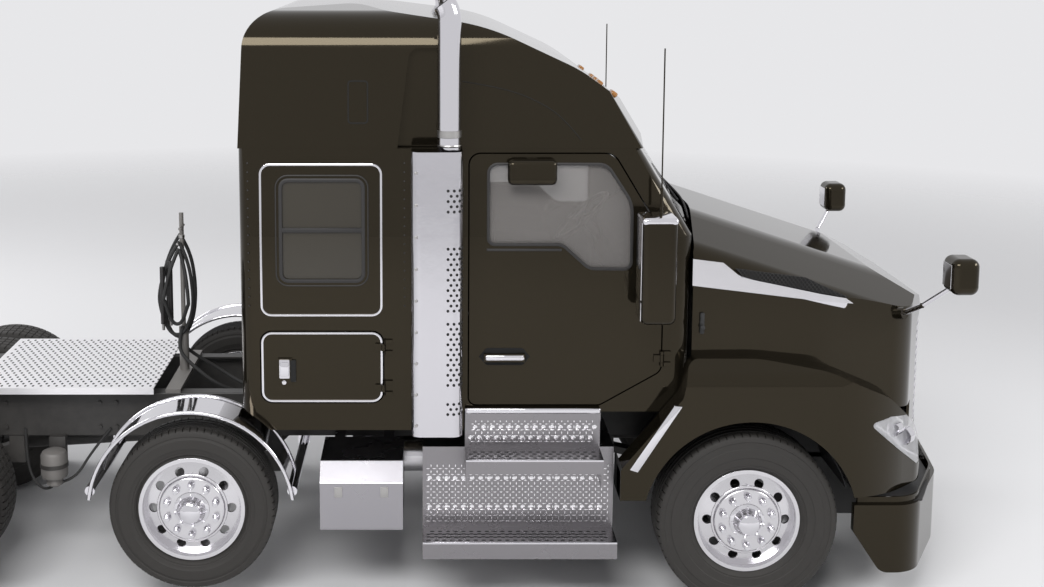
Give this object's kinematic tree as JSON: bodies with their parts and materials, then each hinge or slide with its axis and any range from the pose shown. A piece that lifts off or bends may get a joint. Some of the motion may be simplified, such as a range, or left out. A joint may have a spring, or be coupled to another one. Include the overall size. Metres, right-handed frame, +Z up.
{
  "type": "semi truck tractor unit",
  "caption": "Four-axle highway tractor unit with a short sleeper, tilting hood, opening doors, steered front wheels, raised pusher axle and a tilting fifth wheel.",
  "frame": {"origin": "on the ground, midway between the bumper and the end of the frame, on the centre line", "axes": "+X towards the nose, +Y towards the vehicle's left side, +Z up"},
  "size_m": [8.3, 2.785, 3.4414],
  "materials": {
    "paint": "deep gloss, very dark warm brown-black",
    "chrome": "mirror bright",
    "polished_aluminium": "polished",
    "frame_paint": "satin black, dusty",
    "cast_steel": "rough casting, oily",
    "tyre": "matt rubber",
    "black_plastic": "grained",
    "glass": "tinted",
    "lamp": "clear lens",
    "interior": "soft grain",
    "fabric": "woven",
    "rubber": "matt"
  },
  "bodies": {
    "chassis": {"frame_rails": "frame_paint", "front_suspension": "cast_steel", "pusher_suspension": "cast_steel", "drive_axles": "cast_steel", "driveshaft": "cast_steel", "engine": "cast_steel", "radiator": "frame_paint", "air_tanks": "frame_paint", "rear_deck": "polished_aluminium", "pusher_fenders": "chrome", "cab_steps": "polished_aluminium", "side_boxes": "polished_aluminium", "exhaust_stacks": "chrome", "heat_shields": "chrome", "bumper": "paint", "mudflaps": "rubber", "hose_tender": "frame_paint", "cab_shell": "paint", "sleeper_shell": "paint", "roof_cap": "paint", "fixed_glass": "glass", "dashboard": "interior", "seats": "fabric", "bunk": "interior", "mattress": "fabric"},
    "hood": {"hood_shell": "paint", "grille": "chrome", "headlights": "lamp", "hood_mirrors": "chrome"},
    "fifth_wheel": {"fifth_wheel_plate": "cast_steel"},
    "steering_wheel": {"steering_wheel": "interior"},
    "tie_rod": {"tie_rod": "cast_steel"},
    "knuckle_left": {"knuckle_left": "cast_steel"},
    "steer_wheel_left": {"steer_rim_left": "polished_aluminium", "steer_tyre_left": "tyre"},
    "pusher_wheel_left": {"pusher_rim_left": "polished_aluminium", "pusher_tyre_left": "tyre"},
    "drive_front_wheel_left": {"drive_front_rim_left": "polished_aluminium", "drive_front_tyre_left": "tyre"},
    "drive_rear_wheel_left": {"drive_rear_rim_left": "polished_aluminium", "drive_rear_tyre_left": "tyre"},
    "door_left": {"door_left": "paint", "door_glass_left": "glass", "door_mirror_left": "paint"},
    "luggage_door_left": {"luggage_door_left": "paint"},
    "knuckle_right": {"knuckle_right": "cast_steel"},
    "steer_wheel_right": {"steer_rim_right": "polished_aluminium", "steer_tyre_right": "tyre"},
    "pusher_wheel_right": {"pusher_rim_right": "polished_aluminium", "pusher_tyre_right": "tyre"},
    "drive_front_wheel_right": {"drive_front_rim_right": "polished_aluminium", "drive_front_tyre_right": "tyre"},
    "drive_rear_wheel_right": {"drive_rear_rim_right": "polished_aluminium", "drive_rear_tyre_right": "tyre"},
    "door_right": {"door_right": "paint", "door_glass_right": "glass", "door_mirror_right": "paint"},
    "luggage_door_right": {"luggage_door_right": "paint"}
  },
  "joints": [
    {"name": "steer_left", "type": "hinge", "parent": "chassis", "child": "knuckle_left", "pos_m": [2.85, 0.895, 0.506], "axis": [0, 0, 1], "range_deg": [-38, 38]},
    {"name": "steer_wheel_left_spin", "type": "hinge", "parent": "knuckle_left", "child": "steer_wheel_left", "pos_m": [2.85, 1.035, 0.506], "axis": [0, 1, 0], "continuous": true},
    {"name": "pusher_wheel_left_spin", "type": "hinge", "parent": "chassis", "child": "pusher_wheel_left", "pos_m": [-0.26, 1.06, 0.584], "axis": [0, 1, 0], "continuous": true},
    {"name": "drive_front_wheel_left_spin", "type": "hinge", "parent": "chassis", "child": "drive_front_wheel_left", "pos_m": [-1.9, 0.9205, 0.506], "axis": [0, 1, 0], "continuous": true},
    {"name": "drive_rear_wheel_left_spin", "type": "hinge", "parent": "chassis", "child": "drive_rear_wheel_left", "pos_m": [-3.22, 0.9205, 0.506], "axis": [0, 1, 0], "continuous": true},
    {"name": "door_left_swing", "type": "hinge", "parent": "chassis", "child": "door_left", "pos_m": [2.366, 1.064, 1.69], "axis": [0, 0, -1], "range_deg": [0, 65]},
    {"name": "luggage_door_left_swing", "type": "hinge", "parent": "chassis", "child": "luggage_door_left", "pos_m": [0.812, 1.064, 1.368], "axis": [0, 0, -1], "range_deg": [0, 90]},
    {"name": "steer_right", "type": "hinge", "parent": "chassis", "child": "knuckle_right", "pos_m": [2.85, -0.895, 0.506], "axis": [0, 0, 1], "range_deg": [-38, 38]},
    {"name": "steer_wheel_right_spin", "type": "hinge", "parent": "knuckle_right", "child": "steer_wheel_right", "pos_m": [2.85, -1.035, 0.506], "axis": [0, 1, 0], "continuous": true},
    {"name": "pusher_wheel_right_spin", "type": "hinge", "parent": "chassis", "child": "pusher_wheel_right", "pos_m": [-0.26, -1.06, 0.584], "axis": [0, 1, 0], "continuous": true},
    {"name": "drive_front_wheel_right_spin", "type": "hinge", "parent": "chassis", "child": "drive_front_wheel_right", "pos_m": [-1.9, -0.9205, 0.506], "axis": [0, 1, 0], "continuous": true},
    {"name": "drive_rear_wheel_right_spin", "type": "hinge", "parent": "chassis", "child": "drive_rear_wheel_right", "pos_m": [-3.22, -0.9205, 0.506], "axis": [0, 1, 0], "continuous": true},
    {"name": "door_right_swing", "type": "hinge", "parent": "chassis", "child": "door_right", "pos_m": [2.366, -1.064, 1.69], "axis": [0, 0, 1], "range_deg": [0, 65]},
    {"name": "luggage_door_right_swing", "type": "hinge", "parent": "chassis", "child": "luggage_door_right", "pos_m": [0.812, -1.064, 1.368], "axis": [0, 0, 1], "range_deg": [0, 90]},
    {"name": "tie_rod_turn", "type": "hinge", "parent": "knuckle_left", "child": "tie_rod", "pos_m": [2.64, 0.895, 0.416], "axis": [0, 0, 1], "range_deg": [-38, 38]},
    {"name": "steering_wheel_turn", "type": "hinge", "parent": "chassis", "child": "steering_wheel", "pos_m": [2.08, 0.52, 1.935], "axis": [-0.6691, 0, 0.7431], "range_deg": [-575, 575]},
    {"name": "hood_tilt", "type": "hinge", "parent": "chassis", "child": "hood", "pos_m": [4.03, 0, 0.722], "axis": [0, 1, 0], "range_deg": [0, 55]},
    {"name": "fifth_wheel_tilt", "type": "hinge", "parent": "chassis", "child": "fifth_wheel", "pos_m": [-2.56, 0, 1.165], "axis": [0, 1, 0], "range_deg": [-10, 8]}
  ],
  "couplings": [
    {"joint": "steer_right", "follows": "steer_left", "ratio": 1},
    {"joint": "tie_rod_turn", "follows": "steer_left", "ratio": -1},
    {"joint": "steering_wheel_turn", "follows": "steer_left", "ratio": 15}
  ]
}
